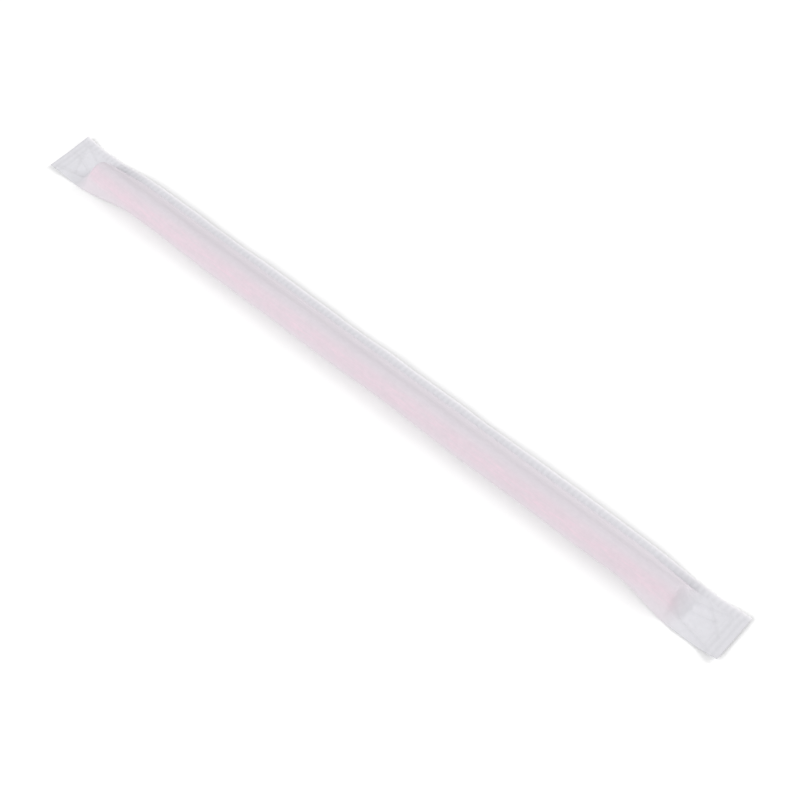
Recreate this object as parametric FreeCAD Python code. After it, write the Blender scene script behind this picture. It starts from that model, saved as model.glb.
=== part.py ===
import FreeCAD, Part
import math
import os

from FreeCAD import Vector

# Wrapped drinking straw, lying on a table. Millimetres, +Z up, straw along X.
# The origin is under the middle of the wrapper, on the table.
# A straight plastic straw lies loose in a sleeve of thin paper. The sleeve is one web,
# folded along one side of the straw and crimped to itself along the other side and
# across both ends, so it is flat at the ends and a tent over the straw between them.
# Beside the straw both edges stand clear of the table, and the flaps lie down on it.

# Straw
straw_length = 197.0
straw_diameter = 5.8
straw_wall = 0.2

# Paper
paper_thickness = 0.1
straw_play = 0.06

# Sleeve, across the straw
seam_width = 2.4
seam_margin = 2.6
fold_margin = 1.0
flap_flare = 2.2
seam_lift = 2.2
fold_lift = 1.2
glue_line = 0.3

# Sleeve, along the straw
near_tail = 16.0
far_tail = 14.0
end_slope = 3.8
flare_length = 16.0
rim_rest = 0.3
near_spring = 0.9
far_spring = 0.6

# Crimp
crimp_pitch = 1.6
crimp_height = 0.15
end_ridges = 3

# Soft folds
pleat_height = 0.22
pleat_count = 3.5
waver_height = 0.22
waver_length = 43.0
slope_hollow = 0.8
seal_share = 0.97

# Sampling of the skin
web_points = 25
flap_steps = 4
slope_steps = 6
flare_steps = 8
sleeve_steps = 16

# Places that follow from the sizes above
straw_radius = straw_diameter / 2
two_layers = 2 * paper_thickness
wrapper_length = straw_length + near_tail + far_tail
half_length = wrapper_length / 2
flap_width = straw_diameter + seam_margin + seam_width + fold_margin + flap_flare
seam_edge = flap_width / 2
seam_root = seam_edge - seam_width
flap_fold = -flap_width / 2
straw_y = seam_root - seam_margin - straw_radius
straw_z = paper_thickness + straw_play + straw_radius
sleeve_fold = straw_y - straw_radius - fold_margin
straw_near = half_length - near_tail
straw_far = -half_length + far_tail
ridge_count = round(wrapper_length / crimp_pitch)
half_pitch = wrapper_length / ridge_count / 2
band_length = 2 * end_ridges * half_pitch
slope_near = straw_near + rim_rest
slope_far = straw_far - rim_rest
near_foot = slope_near + end_slope
far_foot = slope_far - end_slope
belly_right = straw_y + straw_radius / 2
belly_left = straw_y - straw_radius / 2


def clamp(value):
    """The value, held between 0 and 1."""
    return min(1.0, max(0.0, value))


def ease(value):
    """An S-curve from 0 to 1."""
    held = clamp(value)
    return held * held * (3 - 2 * held)


def beyond_straw(x):
    """How far x lies beyond the nearer end of the straw, less the rest on its rim."""
    return max(x - slope_near, slope_far - x)


def flatness(x):
    """0 where the paper is a tent over the straw, 1 where its layers lie together."""
    return clamp(beyond_straw(x) / end_slope) ** slope_hollow


def flare(x):
    """0 along the straw, 1 at the flaps, where the fold stands furthest out."""
    return ease((beyond_straw(x) + flare_length) / (flare_length + end_slope))


def spring(x):
    """How far both layers of a flap have sprung up from the table."""
    near = clamp((x - near_foot) / (half_length - near_foot))
    far = clamp((far_foot - x) / (half_length + far_foot))
    return near_spring * near ** 2 + far_spring * far ** 2


def seam_height(x):
    """How high the seam stands: clear of the table beside the straw, down to it at the flaps."""
    return seam_lift * (1 - flare(x)) + spring(x)


def waver(x):
    """The slow in-and-out of the fold along the sleeve."""
    slow = math.sin(2 * math.pi * x / waver_length)
    slower = math.sin(math.pi * x / waver_length + 1)
    return waver_height * (slow + slower) / 2 * (1 - flare(x))


def fold_place(x):
    """Where the fold crease runs: its Y and its height over the table."""
    out = flare(x)
    y = sleeve_fold + (flap_fold - sleeve_fold) * out + waver(x)
    return y, fold_lift * (1 - out) + spring(x)


def tent_path(root, crease, radius):
    """The web from seam to fold: straight up to the straw, round it, and straight down.

    Both straight stretches touch the circle of the given radius round the straw's axis.
    The points are spread evenly along the web.
    """
    def reach(point):
        dy = point[0] - straw_y
        dz = point[1] - straw_z
        away = math.hypot(dy, dz)
        turn = math.acos(radius / away)
        length = math.sqrt(away * away - radius * radius)
        return math.atan2(dz, dy) % (2 * math.pi), turn, length

    root_angle, root_turn, root_length = reach(root)
    fold_angle, fold_turn, fold_length = reach(crease)
    start = (root_angle + root_turn) % (2 * math.pi)
    stop = fold_angle - fold_turn
    arc_length = radius * (stop - start)
    total = root_length + arc_length + fold_length
    start_point = on_circle(start, radius)
    stop_point = on_circle(stop, radius)
    points = []
    for step in range(web_points):
        run = total * step / (web_points - 1)
        if run < root_length:
            points.append(between(root, start_point, run / root_length))
        elif run < root_length + arc_length:
            points.append(on_circle(start + (run - root_length) / radius, radius))
        else:
            left = (total - run) / fold_length
            points.append(between(crease, stop_point, left))
    return points


def on_circle(angle, radius):
    """A point of the circle round the straw's axis, as Y and Z."""
    return straw_y + radius * math.cos(angle), straw_z + radius * math.sin(angle)


def between(first, second, share):
    """The point that lies the given share of the way from the first to the second."""
    return tuple(a + (b - a) * share for a, b in zip(first, second))


def web(x, root, crease, radius):
    """The upper web at x: the tent, laid flat by its flatness, with a few soft pleats."""
    flat = flatness(x)
    pleat = pleat_height * 4 * flat * (1 - flat)
    points = []
    for step, tent in enumerate(tent_path(root, crease, radius)):
        share = step / (web_points - 1)
        y, z = between(tent, between(root, crease, share), flat)
        rise = math.sin(2 * math.pi * pleat_count * share) * math.sin(math.pi * share)
        points.append(Vector(x, y, z + pleat * rise))
    return points


def closed_wire(corners, upper):
    """The straight edges through the corners, closed by the curve of the upper web."""
    edges = [Part.makeLine(a, b) for a, b in zip(corners, corners[1:])]
    curve = Part.BSplineCurve()
    curve.interpolate(upper)
    return Part.Wire(edges + [curve.toShape()])


def outer_section(x):
    """The outside of the sleeve at x."""
    fold_y, fold_z = fold_place(x)
    seam_z = seam_height(x)
    root_top = (seam_root, seam_z + two_layers)
    fold_top = (fold_y, fold_z + two_layers)
    upper = web(x, root_top, fold_top, straw_radius + straw_play + paper_thickness)
    corners = [
        upper[-1],
        Vector(x, fold_y, fold_z),
        Vector(x, belly_left, spring(x)),
        Vector(x, belly_right, spring(x)),
        Vector(x, seam_root, seam_z),
        upper[0],
    ]
    return closed_wire(corners, upper)


def inner_section(x):
    """The hollow of the sleeve at x."""
    fold_y, fold_z = fold_place(x)
    root = (seam_root - glue_line, seam_height(x) + paper_thickness)
    crease = (fold_y + glue_line, fold_z + paper_thickness)
    upper = web(x, root, crease, straw_radius + straw_play)
    corners = [
        upper[-1],
        Vector(x, belly_left, paper_thickness),
        Vector(x, belly_right, paper_thickness),
        upper[0],
    ]
    return closed_wire(corners, upper)


def spread(first, last, steps):
    """Evenly spaced places from the first to the last, both included."""
    return [first + (last - first) * step / steps for step in range(steps + 1)]


def hollow_places():
    """Where sections are taken along the hollow, from one end's seal to the other's."""
    seal = end_slope * seal_share ** (1 / slope_hollow)
    flare_near = slope_near - flare_length
    flare_far = slope_far + flare_length
    places = spread(slope_far - seal, slope_far, slope_steps)
    places += spread(slope_far, flare_far, flare_steps)[1:]
    places += spread(flare_far, flare_near, sleeve_steps)[1:]
    places += spread(flare_near, slope_near, flare_steps)[1:]
    places += spread(slope_near, slope_near + seal, slope_steps)[1:]
    return places


def make_sleeve():
    """The folded web between the end bands, hollow where the straw lies."""
    hollow = hollow_places()
    far_flap = spread(-half_length + band_length, far_foot, flap_steps)
    near_flap = spread(near_foot, half_length - band_length, flap_steps)
    places = far_flap + hollow + near_flap
    outside = Part.makeLoft([outer_section(x) for x in places], True, True)
    inside = Part.makeLoft([inner_section(x) for x in hollow], True, True)
    return outside.cut(inside)


def ridged_strip(first, last, y_low, y_high):
    """A strip of two bonded layers with crimp ridges across it, from one ridge to another."""
    lower = []
    upper = []
    for ridge in range(first, last + 1):
        x = -half_length + ridge * half_pitch
        lift = seam_height(x) + crimp_height * (ridge % 2)
        lower.append(Vector(x, y_low, lift))
        upper.append(Vector(x, y_low, lift + two_layers))
    outline = Part.makePolygon(lower + upper[::-1] + lower[:1])
    return Part.Face(outline).extrude(Vector(0, y_high - y_low, 0))


def make_wrapper():
    """The whole wrapper: sleeve, long seam and both end bands, as one sheet of paper."""
    band = 2 * end_ridges
    last = 2 * ridge_count
    strips = [
        ridged_strip(0, band, flap_fold, seam_edge),
        ridged_strip(band, last - band, seam_root, seam_edge),
        ridged_strip(last - band, last, flap_fold, seam_edge),
    ]
    return make_sleeve().fuse(strips).removeSplitter()


def make_straw():
    """The straw: a plain tube, cut square."""
    foot = Vector(straw_far, straw_y, straw_z)
    along = Vector(1, 0, 0)
    tube = Part.makeCylinder(straw_radius, straw_length, foot, along)
    bore = Part.makeCylinder(straw_radius - straw_wall, straw_length, foot, along)
    return tube.cut(bore)


os.makedirs("parts", exist_ok=True)
for name, shape in (("wrapper", make_wrapper()), ("straw", make_straw())):
    shape.exportStep("parts/" + name + ".step")
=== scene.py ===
import math

import bpy
import numpy as np
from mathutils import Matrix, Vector


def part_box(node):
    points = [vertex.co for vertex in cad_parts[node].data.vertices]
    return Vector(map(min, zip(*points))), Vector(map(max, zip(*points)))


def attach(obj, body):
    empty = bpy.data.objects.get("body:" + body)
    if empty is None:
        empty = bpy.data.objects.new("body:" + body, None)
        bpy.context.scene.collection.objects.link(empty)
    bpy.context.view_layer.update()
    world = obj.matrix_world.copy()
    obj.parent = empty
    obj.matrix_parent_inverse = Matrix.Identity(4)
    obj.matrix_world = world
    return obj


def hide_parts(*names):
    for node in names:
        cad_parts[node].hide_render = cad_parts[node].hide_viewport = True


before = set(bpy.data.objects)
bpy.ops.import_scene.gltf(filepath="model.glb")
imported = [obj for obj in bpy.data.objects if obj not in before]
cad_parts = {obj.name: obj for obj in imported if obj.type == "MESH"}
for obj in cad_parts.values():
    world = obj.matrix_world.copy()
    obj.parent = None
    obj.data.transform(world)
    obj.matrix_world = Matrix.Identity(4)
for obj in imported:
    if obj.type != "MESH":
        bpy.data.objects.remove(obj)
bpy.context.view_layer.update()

scene = bpy.context.scene
scene.view_settings.view_transform = "Standard"

# The view. The wrapped straw lies from the upper left, far end, to the lower right,
# near end, seen from above on its folded side, close enough for the near flap to
# look larger than the far one.
view_azimuth = math.radians(42)
view_elevation = math.radians(55)
view_distance = 0.41
view_angle = math.radians(27.4)
view_aim = Vector((0.013, -0.002, 0.002))
sensor_width = 36
nearest_seen = 0.01

view_back = Vector((
    math.sin(view_azimuth) * math.cos(view_elevation),
    -math.cos(view_azimuth) * math.cos(view_elevation),
    math.sin(view_elevation),
))
camera_data = bpy.data.cameras.new("camera")
camera_data.sensor_width = sensor_width
camera_data.lens = sensor_width / 2 / math.tan(view_angle / 2)
camera_data.clip_start = nearest_seen
camera = bpy.data.objects.new("camera", camera_data)
camera.location = view_aim + view_back * view_distance
camera.rotation_euler = (-view_back).to_track_quat("-Z", "Y").to_euler()
scene.collection.objects.link(camera)
scene.camera = camera


# The table: a plain white sheet, matte. It stays white to the camera, keeps the soft
# shadow of the paper and fades out into the white further off.
table_size = 6.0
table_colour = (0.82, 0.82, 0.82, 1)
table_roughness = 0.9
table_shine = 0.1
fade_run = (0.3, 0.8)
white = (1, 1, 1, 1)
black = (0, 0, 0, 1)


def new_material(name):
    """A material with its node tree and its Principled shader."""
    material = bpy.data.materials.new(name)
    material.use_nodes = True
    tree = material.node_tree
    return material, tree, tree.nodes["Principled BSDF"]


def add(tree, kind, **settings):
    """A node of the kind in the tree, with its plain settings."""
    made = tree.nodes.new(kind)
    for key, value in settings.items():
        setattr(made, key, value)
    return made


def feed(tree, source, socket):
    """Links another node's output to the socket, or sets a plain value on it."""
    if isinstance(source, bpy.types.NodeSocket):
        tree.links.new(source, socket)
    else:
        socket.default_value = source


def combined(tree, operation, first, second):
    """The two numbers put together by the operation."""
    node = add(tree, "ShaderNodeMath", operation=operation)
    feed(tree, first, node.inputs[0])
    feed(tree, second, node.inputs[1])
    return node.outputs["Value"]


def mixed(tree, factor, first, second, blend="MIX"):
    """The first colour, with a share of the second laid over it in the blend's way."""
    node = add(tree, "ShaderNodeMix", data_type="RGBA", blend_type=blend)
    feed(tree, factor, node.inputs["Factor"])
    feed(tree, first, node.inputs["A"])
    feed(tree, second, node.inputs["B"])
    return node.outputs["Result"]


def ranged(tree, value, before, after, curve="LINEAR"):
    """The value moved from the range before to the range after, held at its ends."""
    node = add(tree, "ShaderNodeMapRange", interpolation_type=curve)
    node.inputs["From Min"].default_value, node.inputs["From Max"].default_value = before
    node.inputs["To Min"].default_value, node.inputs["To Max"].default_value = after
    feed(tree, value, node.inputs["Value"])
    return node.outputs["Result"]


def seen_directly(tree):
    """1 for a ray from the camera, off gloss or through glass, and 0 for any other:
    the largest of the three."""
    ray = add(tree, "ShaderNodeLightPath").outputs
    gloss = combined(tree, "MAXIMUM", ray["Is Camera Ray"], ray["Is Glossy Ray"])
    return combined(tree, "MAXIMUM", gloss, ray["Is Transmission Ray"])


corners = [(-1, -1), (1, -1), (1, 1), (-1, 1)]
table_corners = [(x * table_size / 2, y * table_size / 2, 0) for x, y in corners]
table_mesh = bpy.data.meshes.new("table")
table_mesh.from_pydata(table_corners, [], [(0, 1, 2, 3)])
table = bpy.data.objects.new("table", table_mesh)
scene.collection.objects.link(table)

table_material, tree, shader = new_material("table_white")
seen = seen_directly(tree)
place = add(tree, "ShaderNodeTexCoord")
reach = add(tree, "ShaderNodeVectorMath", operation="LENGTH")
feed(tree, place.outputs["Object"], reach.inputs["Vector"])
fade = ranged(tree, reach.outputs["Value"], fade_run, (0, 1), "SMOOTHSTEP")
distant = combined(tree, "MULTIPLY", seen, fade)
pale = mixed(tree, seen, table_colour, white)
feed(tree, mixed(tree, distant, pale, black), shader.inputs["Base Color"])
feed(tree, white, shader.inputs["Emission Color"])
feed(tree, distant, shader.inputs["Emission Strength"])
feed(tree, table_roughness, shader.inputs["Roughness"])
feed(tree, table_shine, shader.inputs["Specular IOR Level"])
table_mesh.materials.append(table_material)


# The light: two wide soft lamps of about the same strength, one in front of the folded
# side and one behind the seam, and an even sky that is white where it is seen.
lamp_size = 1.2
key_place = (-0.45, -1.25, 1.25)
key_power = 20.4
back_place = (0.85, 1.25, 1.0)
back_power = 18.2
sky_light = 0.45
sky_seen = 1.0


def soft_lamp(name, place, power):
    """A square area lamp at the place, turned to the middle of the table."""
    data = bpy.data.lights.new(name, "AREA")
    data.size = lamp_size
    data.energy = power
    lamp = bpy.data.objects.new(name, data)
    lamp.location = place
    lamp.rotation_euler = Vector(place).to_track_quat("Z", "Y").to_euler()
    scene.collection.objects.link(lamp)


soft_lamp("key_lamp", key_place, key_power)
soft_lamp("back_lamp", back_place, back_power)
sky = bpy.data.worlds.new("sky")
scene.world = sky
sky.use_nodes = True
tree = sky.node_tree
background = tree.nodes["Background"]
sky_level = ranged(tree, seen_directly(tree), (0, 1), (sky_light, sky_seen))
feed(tree, sky_level, background.inputs["Strength"])
feed(tree, white, background.inputs["Color"])


# The straw: a plain tube of red polypropylene, extruded, cut square, with its cut rims
# just broken. It lies loose in the paper and is seen only as a tint through it.
mm = 0.001
straw_wall = 0.2
rim_break = 0.05
straw_low, straw_high = (np.array(corner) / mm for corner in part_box("straw"))
straw_radius = 2.9
straw_y = (straw_low[1] + straw_high[1]) / 2
straw_z = (straw_low[2] + straw_high[2]) / 2
straw_far = straw_low[0]
straw_near = straw_high[0]
straw_facets = 96
straw_rows = 24
straw_sharp = 50
straw_colour = (0.62, 0.045, 0.13, 1)
straw_pale = (0.70, 0.085, 0.18, 1)
straw_roughness = (0.28, 0.42)

# Its grain: counts per metre along and across the straw, and detail.
draw_lines = (60, 4500, 3)


def tube_profile():
    """The wall's outline as length and radius: out along the skin, round the near rim,
    back along the bore and round the far rim."""
    outer = np.linspace(straw_far + rim_break, straw_near - rim_break, straw_rows)
    inner = outer[::-1]
    along = np.concatenate([
        [straw_far], outer, [straw_near], [straw_near], inner, [straw_far],
    ])
    bore = straw_radius - straw_wall
    radius = np.concatenate([
        [straw_radius - rim_break],
        np.full(straw_rows, straw_radius),
        [straw_radius - rim_break],
        [bore + rim_break],
        np.full(straw_rows, bore),
        [bore + rim_break],
    ])
    return along, radius


def grid_faces(rows, columns, first=0, wrap_rows=False, flip=False):
    """Quads of a grid whose columns close into a ring: each joins a point, its
    neighbour round the ring, and the same two of the next row."""
    row = np.arange(rows if wrap_rows else rows - 1)[:, None]
    column = np.arange(columns)[None, :]
    after = (column + 1) % columns
    below = (row + 1) % rows
    quads = np.stack([
        row * columns + column,
        row * columns + after,
        below * columns + after,
        below * columns + column,
    ], axis=-1).reshape(-1, 4) + first
    return (quads[:, ::-1] if flip else quads).tolist()


def add_mesh(name, points, faces, sharp):
    """A smooth-shaded object of points in millimetres and lists of faces, its edges
    kept crisp where they turn by more than the angle."""
    mesh = bpy.data.meshes.new(name)
    mesh.from_pydata((points * mm).tolist(), [], faces)
    mesh.validate()
    mesh.polygons.foreach_set("use_smooth", np.ones(len(mesh.polygons), bool))
    mesh.set_sharp_from_angle(angle=math.radians(sharp))
    piece = bpy.data.objects.new(name, mesh)
    scene.collection.objects.link(piece)
    return piece


def make_grain():
    """The node group of the lengthwise grain: noise on Object coordinates, each axis
    times its count per metre."""
    group = bpy.data.node_groups.new("lengthwise_grain", "ShaderNodeTree")
    for name in ("Along", "Across", "Detail"):
        group.interface.new_socket(name, in_out="INPUT", socket_type="NodeSocketFloat")
    group.interface.new_socket("Grain", in_out="OUTPUT", socket_type="NodeSocketFloat")
    asked = add(group, "NodeGroupInput")
    given = add(group, "NodeGroupOutput")
    place = add(group, "ShaderNodeTexCoord")
    counts = add(group, "ShaderNodeCombineXYZ")
    stretch = add(group, "ShaderNodeMapping")
    noise = add(group, "ShaderNodeTexNoise")
    feed(group, 1, noise.inputs["Scale"])
    feed(group, asked.outputs["Along"], counts.inputs["X"])
    feed(group, asked.outputs["Across"], counts.inputs["Y"])
    feed(group, asked.outputs["Across"], counts.inputs["Z"])
    feed(group, counts.outputs["Vector"], stretch.inputs["Scale"])
    feed(group, place.outputs["Object"], stretch.inputs["Vector"])
    feed(group, stretch.outputs["Vector"], noise.inputs["Vector"])
    feed(group, asked.outputs["Detail"], noise.inputs["Detail"])
    feed(group, noise.outputs["Fac"], given.inputs["Grain"])
    return group


lengthwise_grain = make_grain()


def grain(tree, counts):
    """The grain in a material, from its counts per metre along and across the straw and
    its detail."""
    node = add(tree, "ShaderNodeGroup", node_tree=lengthwise_grain)
    for name, count in zip(("Along", "Across", "Detail"), counts):
        feed(tree, count, node.inputs[name])
    return node.outputs["Grain"]


along, radius = tube_profile()
turn = np.linspace(0, 2 * np.pi, straw_facets, endpoint=False)
tube = np.stack(np.broadcast_arrays(
    along[:, None],
    straw_y + radius[:, None] * np.cos(turn),
    straw_z + radius[:, None] * np.sin(turn),
), axis=-1).reshape(-1, 3)
tube_faces = grid_faces(len(along), straw_facets, wrap_rows=True)
straw = add_mesh("straw_tube", tube, tube_faces, straw_sharp)

straw_material, tree, shader = new_material("straw_red")
drawn = grain(tree, draw_lines)
feed(tree, mixed(tree, drawn, straw_colour, straw_pale), shader.inputs["Base Color"])
feed(tree, ranged(tree, drawn, (0, 1), straw_roughness), shader.inputs["Roughness"])
straw.data.materials.append(straw_material)
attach(straw, "root")
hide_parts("straw")


# The wrapper: one web of thin white paper, folded along one side of the straw and
# crimped to itself along the other and across both ends. Over the straw it is a tent;
# past the straw's ends its two layers lie together as flat, slightly sprung flaps.
paper_thickness = 0.1
straw_play = 0.06
seam_width = 2.4
seam_lift = 2.2
glue_line = 0.3
fold_margin = 1.0
fold_lift = 1.2
near_spring = 0.9
far_spring = 0.6
end_slope = 3.8
flare_length = 16.0
rim_rest = 0.3
slope_hollow = 0.8
seal_share = 0.97
crimp_pitch = 1.6
crimp_height = 0.15
end_ridges = 3
waver_height = 0.22
waver_length = 43.0
pleat_height = 0.22
pleat_count = 3.5

# Places that follow from the sizes above and from the frame.
two_layers = 2 * paper_thickness
paper_low, paper_high = (np.array(corner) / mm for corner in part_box("wrapper"))
half_length = paper_high[0]
seam_edge = paper_high[1]
seam_root = seam_edge - seam_width
flap_fold = paper_low[1]
sleeve_fold = straw_y - straw_radius - fold_margin
slope_near = straw_near + rim_rest
slope_far = straw_far - rim_rest
near_foot = slope_near + end_slope
far_foot = slope_far - end_slope
belly_left = straw_y - straw_radius / 2
belly_right = straw_y + straw_radius / 2
ridge_count = round(2 * half_length / crimp_pitch)
band_length = end_ridges * 2 * half_length / ridge_count


def ease(value):
    """An S-curve from 0 to 1: three times the square less twice the cube."""
    held = np.clip(value, 0, 1)
    return held * held * (3 - 2 * held)


def between(first, second, share):
    """The first, moved the given share of the way to the second."""
    return first + (second - first) * share


def sines(x, waves):
    """The sum of sines along x, each with its height, its length per radian and its
    phase."""
    return sum(height * np.sin(x / span + phase) for height, span, phase in waves)


def past_rim(x):
    """How far x lies past the paper's rest on the nearer rim, below 0 along the straw."""
    return np.maximum(x - slope_near, slope_far - x)


def flatness(x):
    """0 over the straw, 1 where the layers lie together: a power of the way down the
    slope."""
    return np.clip(past_rim(x) / end_slope, 0, 1) ** slope_hollow


def flare(x):
    """0 along the straw, 1 at the flaps, by an S-curve."""
    return ease((past_rim(x) + flare_length) / (flare_length + end_slope))


def end_band(x, run):
    """0 on a flap, 1 on the crimped band across its end, by an S-curve over the run."""
    return ease((np.abs(x) - half_length + band_length) / run)


def crimp(x):
    """The crimp wheel's ridges, 0 in the furrows and 1 on the crests: a triangle wave
    with its peaks halfway."""
    step = (x + half_length) * ridge_count / (2 * half_length)
    return 1 - np.abs(2 * (step % 1) - 1)


fold_waver = [
    (waver_height / 2, waver_length / (2 * np.pi), 0),
    (waver_height / 2, waver_length / np.pi, 1),
]


def fold_place(x):
    """Y and Z of the fold crease: out to the flap's edge by the flare, with a slow
    waver of two sines along the straw."""
    out = flare(x)
    waver = sines(x, fold_waver) * (1 - out)
    return between(sleeve_fold, flap_fold, out) + waver, fold_lift * (1 - out)


def tangent(y, z, radius):
    """The line from a point that touches the circle round the straw's axis: the angle
    at which the axis sees the point, the turn from there to the touch, and its length."""
    dy = y - straw_y
    dz = z - straw_z
    away = np.hypot(dy, dz)
    angle = np.arctan2(dz, dy) % (2 * np.pi)
    return angle, np.arccos(radius / away), np.sqrt(away ** 2 - radius ** 2)


def tent(root, crease, radius, share):
    """Y and Z of the web at a share of its way from seam to fold: a straight line up to
    the circle, round it, and a straight line down."""
    root_angle, root_turn, root_length = tangent(*root, radius)
    fold_angle, fold_turn, fold_length = tangent(*crease, radius)
    start = (root_angle + root_turn) % (2 * np.pi)
    stop = fold_angle - fold_turn
    arc_length = radius * (stop - start)
    run = share * (root_length + arc_length + fold_length)
    up = np.clip(run / root_length, 0, 1)
    down = np.clip((run - root_length - arc_length) / fold_length, 0, 1)
    turned = np.clip(start + (run - root_length) / radius, start, stop)
    round_y = straw_y + radius * np.cos(turned)
    round_z = straw_z + radius * np.sin(turned)
    rising = up < 1
    y = np.where(rising, between(root[0], round_y, up), between(round_y, crease[0], down))
    z = np.where(rising, between(root[1], round_z, up), between(round_z, crease[1], down))
    return y, z


# Fine forms of the free paper: slow waves and lengthwise lines, small wrinkles, sag,
# and puckers along the seam. Chance sets the waves and the facets of the crumple.
chance_seed = 7
wave_count = 6
wave_height = 0.2
shortest_wave = 17
longest_wave = 60
steepest_slant = 4
facet_count = 6
smallest_facet = 5
largest_facet = 13
crumple_middle = 0.5
wrinkle_height = 0.7
web_reach = 12.0
line_height = 0.1
line_count = 9
line_wander = [(0.5, 31, 0), (0.3, 13, 2)]
web_sag = 0.3
free_gap = 0.6
held_share = 0.4
pucker_height = 0.12
pucker_length = 3.7
pucker_reach = 1.3
pucker_start = 0.6
pucker_wander = [(0.6, 11, 0)]

chance = np.random.default_rng(chance_seed)
wave_lengths = chance.uniform(shortest_wave, longest_wave, wave_count)
wave_slants = chance.uniform(-steepest_slant, steepest_slant, wave_count)
wave_phases = chance.uniform(0, 2 * np.pi, wave_count)
facet_turns = chance.uniform(0, np.pi, facet_count)
facet_lengths = chance.uniform(smallest_facet, largest_facet, facet_count)
facet_phases = chance.uniform(0, 2 * np.pi, facet_count)


def long_waves(x, share):
    """Slow waves along the sleeve, about 0: twice the mean of sines that slant over the
    web."""
    total = 0
    for length, slant, phase in zip(wave_lengths, wave_slants, wave_phases):
        total = total + np.sin(2 * np.pi * x / length + slant * share + phase)
    return 2 * total / wave_count


def crumple(x, y):
    """Crisp facets, about 0: the mean of folded sines that run in different directions,
    less their middle."""
    total = 0
    for turn, length, phase in zip(facet_turns, facet_lengths, facet_phases):
        run = x * math.cos(turn) + y * math.sin(turn)
        total = total + np.abs(np.sin(np.pi * run / length + phase))
    return total / facet_count - crumple_middle


def fold_wave(turns):
    """A triangle wave between -1 and 1, in step with the sine of that many turns."""
    return 2 * np.abs(2 * ((turns - 0.25) % 1) - 1) - 1


def web_push(x, share, gap):
    """How far the upper web stands off its tent: waves, lines, wrinkles and sag where it
    is free, which is 1 less e to the minus square of its gap, and a share of the waves
    and lines where it lies on the straw."""
    free = 1 - np.exp(-(gap / free_gap) ** 2)
    waves = wave_height * long_waves(x, share)
    lines = line_height * fold_wave(line_count * share + sines(x, line_wander))
    wrinkles = wrinkle_height * crumple(x, web_reach * share)
    loose = free * (waves - web_sag + lines + wrinkles) * np.sin(np.pi * share)
    return loose + (1 - free) * np.maximum(waves + lines, 0) * held_share


def pucker(x, from_seam):
    """Small tucks beside the seam: folded sines along it that rise over their start and
    fall off by e to the minus distance over their reach."""
    run = x / pucker_length + sines(x, pucker_wander)
    tucks = pucker_height * np.abs(np.sin(np.pi * run))
    return tucks * np.exp(-from_seam / pucker_reach) * ease(from_seam / pucker_start)


def upper_web(x, share, depth):
    """Y and Z of the upper web at a depth in the paper: the tent with its fine forms,
    laid flat by its flatness, and a few pleats where it is half flat."""
    fold_y, fold_z = fold_place(x)
    inset = glue_line if depth > 0 else 0
    root = (seam_root - inset, seam_lift * (1 - flare(x)) + two_layers - depth)
    crease = (fold_y + inset, fold_z + two_layers - depth)
    skin = straw_radius + straw_play + paper_thickness - depth
    tent_y, tent_z = tent(root, crease, skin, share)
    flat = flatness(x)
    y = between(tent_y, between(root[0], crease[0], share), flat)
    z = between(tent_z, between(root[1], crease[1], share), flat)
    gap = np.hypot(tent_y - straw_y, tent_z - straw_z) - skin
    fine = web_push(x, share, gap) + pucker(x, seam_root - y)
    pleats = fold_wave(pleat_count * share) * np.sin(np.pi * share)
    half_flat = 4 * flat * (1 - flat)
    return y, z + fine * (1 - flat) + pleat_height * half_flat * pleats


# The underside: flat under the straw and bent up beside it.
belly_bend = 1.2


def lower_web(x, share, depth):
    """Y and Z of the lower web, from seam to fold: bent up to the seam and to the crease
    by a power of the way from the flat belly."""
    fold_y, fold_z = fold_place(x)
    inset = glue_line if depth > 0 else 0
    y = between(seam_root - inset, fold_y + inset, share)
    to_fold = np.clip((belly_left - y) / (belly_left - fold_y), 0, 1)
    to_seam = np.clip((y - belly_right) / (seam_root - belly_right), 0, 1)
    seam_z = seam_lift * (1 - flare(x))
    return y, fold_z * to_fold ** belly_bend + seam_z * to_seam ** belly_bend + depth


# The crimped seam: two layers that droop a little, with a slightly wandering edge.
seam_droop = 0.12
droop_bend = 1.5
droop_waves = [(0.18, 7.3, 0), (0.1, 3.7, 1)]
edge_wander = 0.09
edge_waves = [(1 / 3, 1.9, 0), (1 / 3, 3.1, 1), (1 / 3, 5.3, 2)]
ridge_start = 0.4


def seam_strip(x, way, height):
    """Y and Z of the seam at a way from root to edge and a height in it: ridged by the
    crimp, waved and drooping by a power of the way, its edge drawn in by slow sines."""
    loose = 1 - flare(x)
    drawn_in = edge_wander * (sines(x, edge_waves) - 1) * loose
    droop = (sines(x, droop_waves) - seam_droop) * loose * way ** droop_bend
    ridge = crimp_height * crimp(x) * ease(way * seam_width / ridge_start)
    y = seam_root + (seam_width + drawn_in) * way
    return y, seam_lift * loose + droop + ridge + height


# The flaps: sprung up, crumpled, with a few creases and one curled corner each.
crumple_height = 0.6
curl_height = 0.5
curl_reach = 6.0
band_share = 0.8
band_start = 1.2

# Each crease: its two ends, X outwards from the foot of the slope and Y from the middle
# of the wrapper, its height, and how fast it fades to its sides.
near_creases = [
    ((-3.0, 1.6), (8.5, 4.4), 0.34, 0.8),
    ((-3.2, -3.4), (9.0, -5.9), 0.42, 0.9),
    ((0.5, -0.6), (6.5, 0.9), 0.24, 0.6),
    ((2.2, 4.4), (9.5, -2.2), 0.20, 0.5),
]
far_creases = [
    ((-3.0, 1.2), (6.5, 4.4), 0.34, 0.7),
    ((-3.0, -3.6), (7.5, -6.1), 0.38, 0.8),
    ((1.0, -1.4), (8.0, 0.6), 0.24, 0.6),
    ((7.0, 4.2), (2.0, -6.2), 0.22, 0.5),
]


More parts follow.
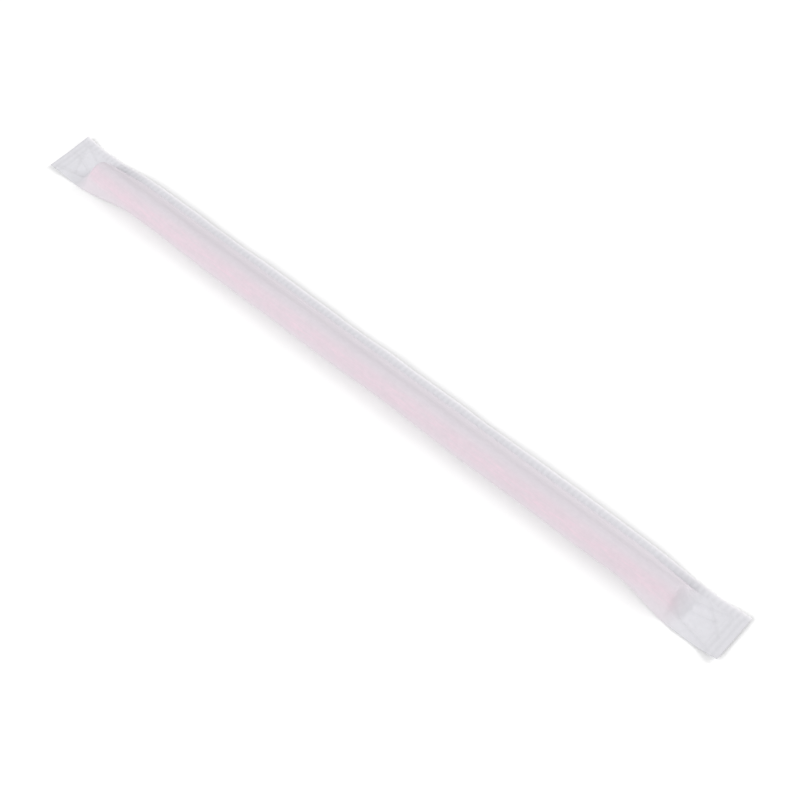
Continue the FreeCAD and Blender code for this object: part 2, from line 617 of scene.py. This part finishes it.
def crease_rise(out, y, creases):
    """Ridges with crisp crests: each crease's height, falling off by e to the minus
    distance over its fade."""
    rise = 0
    for (x0, y0), (x1, y1), height, fade in creases:
        dx = x1 - x0
        dy = y1 - y0
        length = math.hypot(dx, dy)
        run = np.clip(((out - x0) * dx + (y - y0) * dy) / length, 0, length)
        off = np.hypot(out - x0 - run * dx / length, y - y0 - run * dy / length)
        rise = rise + height * np.exp(-off / fade)
    return rise


def flap_creases(x, y, near, far):
    """The rise of the creases of the flap at the nearer end of the wrapper."""
    near_rise = crease_rise(x - near_foot, y, near)
    far_rise = crease_rise(far_foot - x, y, far)
    return np.where(x > 0, near_rise, far_rise)


def sheet_rise(x, y):
    """How far both layers together stand off the table: the flap's spring, a square of
    the way along it, its creases, crumple and curl, and the end band's crimp."""
    near_way = np.clip((x - near_foot) / (half_length - near_foot), 0, 1)
    far_way = np.clip((far_foot - x) / (half_length + far_foot), 0, 1)
    spring = near_spring * near_way ** 2 + far_spring * far_way ** 2
    near_corner = np.hypot(x - half_length, y - flap_fold)
    far_corner = np.hypot(x + half_length, y - seam_edge)
    curl = np.clip(1 - np.minimum(near_corner, far_corner) / curl_reach, 0, 1) ** 2
    creases = flap_creases(x, y, near_creases, far_creases)
    folds = creases + crumple_height * crumple(x, y) + curl_height * curl
    ridges = crimp_height * band_share * crimp(x) * end_band(x, band_start)
    return spring + flatness(x) * folds + ridges


# The mesh: an outer skin of rings from end to end, and the hollow round the straw. The
# hollow has every second column of the web and every second ring, but every ring at its
# ends, so that it clears the rims of the straw.
rows_per_ridge = 4
web_columns = 62
seam_columns = 8
hollow_end = 1.0
paper_sharp = 40


def skin_points(x, parts):
    """Points of a skin, one ring for each x, from the Y and Z of its parts in turn, with
    the rise that both layers share."""
    y = np.concatenate([part_y for part_y, _ in parts], axis=1)
    z = np.concatenate([part_z for _, part_z in parts], axis=1)
    x = np.broadcast_to(x, y.shape)
    return np.stack([x, y, z + np.maximum(sheet_rise(x, y), 0)], axis=-1)


def skin_faces(rings, first=0, flip=False):
    """Quads between the rings and one face over each end, turned inwards by a flip."""
    rows, columns = rings.shape[:2]
    last = first + (rows - 1) * columns
    far_end = list(range(first, first + columns))
    near_end = list(range(last, last + columns))
    ends = [far_end, near_end[::-1]] if flip else [far_end[::-1], near_end]
    return grid_faces(rows, columns, first, flip=flip) + ends


outer_x = np.linspace(-half_length, half_length, rows_per_ridge * ridge_count + 1)[:, None]
web_share = np.linspace(0, 1, web_columns)[None, :]
seam_way = np.linspace(0, 1, seam_columns)[None, 1:]
outer_rings = skin_points(outer_x, [
    lower_web(outer_x, web_share[:, ::-1], 0),
    seam_strip(outer_x, seam_way, 0),
    seam_strip(outer_x, seam_way[:, ::-1], two_layers),
    upper_web(outer_x, web_share, 0),
])
seal = end_slope * seal_share ** (1 / slope_hollow)
ring_x = outer_x[:, 0]
kept = past_rim(ring_x) > -hollow_end
kept[::2] = True
kept &= past_rim(ring_x) < seal
hollow_x = np.concatenate([[slope_far - seal], ring_x[kept], [slope_near + seal]])[:, None]
hollow_share = web_share[:, ::2]
hollow_rings = skin_points(hollow_x, [
    lower_web(hollow_x, hollow_share[:, ::-1], paper_thickness),
    upper_web(hollow_x, hollow_share[:, 1:-1], paper_thickness),
])
outer_points = outer_rings.reshape(-1, 3)
hollow_points = hollow_rings.reshape(-1, 3)
paper_points = np.concatenate([outer_points, hollow_points])
paper_faces = skin_faces(outer_rings) + skin_faces(hollow_rings, len(outer_points), flip=True)
wrapper = add_mesh("paper_sleeve", paper_points, paper_faces, paper_sharp)

# What the paper's material reads at each point: how close the straw is and on which side, for
# the painted glow on the folded side; where both layers are bonded; where they are pressed,
# for the pressed tone with painted shade; and where the seam is cut, for a painted highlight
# along its edge.
touch_fade = 0.5
glow_from = 0.6
glow_run = 3.2
seam_blur = 0.4
band_blur = 0.6
crease_share = 0.75
crease_width = 0.3
highlight_fade = 0.45


def store(name, values):
    """A number for each point of the paper, for its material to read."""
    layer = wrapper.data.attributes.new(name, "FLOAT", "POINT")
    layer.data.foreach_set("value", values.astype(np.float32))


def crease_lines(creases):
    """The same creases as thin lines of painted shade, all with one share and one width."""
    return [(start, stop, crease_share, crease_width) for start, stop, _, _ in creases]


point_x, point_y, point_z = paper_points.T
past_end = np.maximum(np.maximum(point_x - straw_near, straw_far - point_x), 0)
off_axis = np.hypot(point_y - straw_y, point_z - straw_z)
off_skin = np.maximum(off_axis - straw_radius, 0)
straw_gap = np.maximum(np.hypot(past_end, off_skin) - paper_thickness, 0)
# Painted glow: on the folded side, where the front lamp falls, the straw's tint reaches
# further and turns pink.
painted_glow_side = ease((straw_y + glow_from - point_y) / glow_run)
store("straw_tint", np.exp(-straw_gap / (touch_fade * (1 + painted_glow_side))))
store("painted_straw_glow", painted_glow_side)

seam_part = ease((point_y - seam_root) / seam_blur + 0.5)
store("bonded", np.maximum(seam_part, flatness(point_x)))

# Painted shade along the flap creases and in the crimp's furrows, partly the pressed paper's
# own tone.
near_lines = crease_lines(near_creases)
far_lines = crease_lines(far_creases)
crease_shade = flap_creases(point_x, point_y, near_lines, far_lines)
furrow_shade = np.maximum(seam_part, end_band(point_x, band_blur)) * (1 - crimp(point_x))
store("pressed_and_shaded", np.clip(np.maximum(furrow_shade, crease_shade), 0, 1))

# Painted highlight along the seam's cut edge, fading inwards from it.
web_way = np.zeros_like(web_share)
ring_way = np.concatenate([web_way, seam_way, seam_way[:, ::-1], web_way], axis=1)
edge_gap = np.broadcast_to(seam_width * (1 - ring_way), outer_rings.shape[:2])
edge_highlight = np.exp(-edge_gap.reshape(-1) / highlight_fade)
store("painted_edge_highlight", np.concatenate([edge_highlight, np.zeros(len(hollow_points))]))

# The paper's colours: a cool white where it is bonded and a pinker one in a single layer.
# Over the straw the straw's tint shows as a lilac grey with painted shade, turning to a
# painted pink glow on the folded side, in streaks.
paper_bonded = (0.695, 0.69, 0.725, 1)
paper_single = (0.745, 0.70, 0.745, 1)
# Over the straw: the straw's tint as a lilac grey with painted shade, and as a pink painted
# glow on the folded side.
lilac_tint_painted_shade = (0.67, 0.625, 0.67, 1)
pink_tint_painted_glow = (0.82, 0.643, 0.725, 1)
edge_highlight_colour = (0.90, 0.885, 0.905, 1)
pressed_shade_tone = 0.935
streaks = (300, 3250, 4)
streak_noise = (0.3, 0.7)
streak_share = (0.45, 1.0)
lifts = (200, 600, 2)
lift_noise = (0.35, 0.65)
lift_share = (0.65, 1.0)
clouds = (900, 900, 5)
cloud_noise = (0.3, 0.7)
cloud_tone = (0.955, 1.0)
fibres = (4500, 13000, 6)
fibre_strength = 0.35
fibre_height = 0.00004
paper_roughness = (0.62, 0.82)
paper_shine = 0.3


def stored(tree, name):
    """The number of that name that was stored for each point of the paper."""
    return add(tree, "ShaderNodeAttribute", attribute_name=name).outputs["Fac"]


paper_material, tree, shader = new_material("wrapping_paper")
free_paper = mixed(tree, stored(tree, "bonded"), paper_single, paper_bonded)
streaky = ranged(tree, grain(tree, streaks), streak_noise, streak_share)
lifted = ranged(tree, grain(tree, lifts), lift_noise, lift_share)
# Painted light over the straw: painted shade on the crown, a painted pink glow towards the
# fold.
streaky_painted_glow = combined(tree, "MULTIPLY", stored(tree, "painted_straw_glow"), streaky)
painted_fold_glow = combined(tree, "MULTIPLY", streaky_painted_glow, lifted)
tint_with_painted_light = mixed(tree, painted_fold_glow, lilac_tint_painted_shade, pink_tint_painted_glow)
paper = mixed(tree, stored(tree, "straw_tint"), free_paper, tint_with_painted_light)
cloud = ranged(tree, grain(tree, clouds), cloud_noise, cloud_tone)
clouded = mixed(tree, 1, paper, cloud, "MULTIPLY")
# Painted shade in the furrows and along the creases, with the pressed tone.
pressed_shade = ranged(tree, stored(tree, "pressed_and_shaded"), (0, 1), (1, pressed_shade_tone))
with_pressed_shade = mixed(tree, 1, clouded, pressed_shade, "MULTIPLY")
# Painted highlight on the seam's cut edge.
with_edge_highlight = mixed(tree, stored(tree, "painted_edge_highlight"), with_pressed_shade, edge_highlight_colour)
feed(tree, with_edge_highlight, shader.inputs["Base Color"])

fibre = grain(tree, fibres)
bump = add(tree, "ShaderNodeBump")
feed(tree, fibre_strength, bump.inputs["Strength"])
feed(tree, fibre_height, bump.inputs["Distance"])
feed(tree, fibre, bump.inputs["Height"])
feed(tree, bump.outputs["Normal"], shader.inputs["Normal"])
feed(tree, ranged(tree, fibre, (0, 1), paper_roughness), shader.inputs["Roughness"])
feed(tree, paper_shine, shader.inputs["Specular IOR Level"])
wrapper.data.materials.append(paper_material)
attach(wrapper, "root")
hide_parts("wrapper")
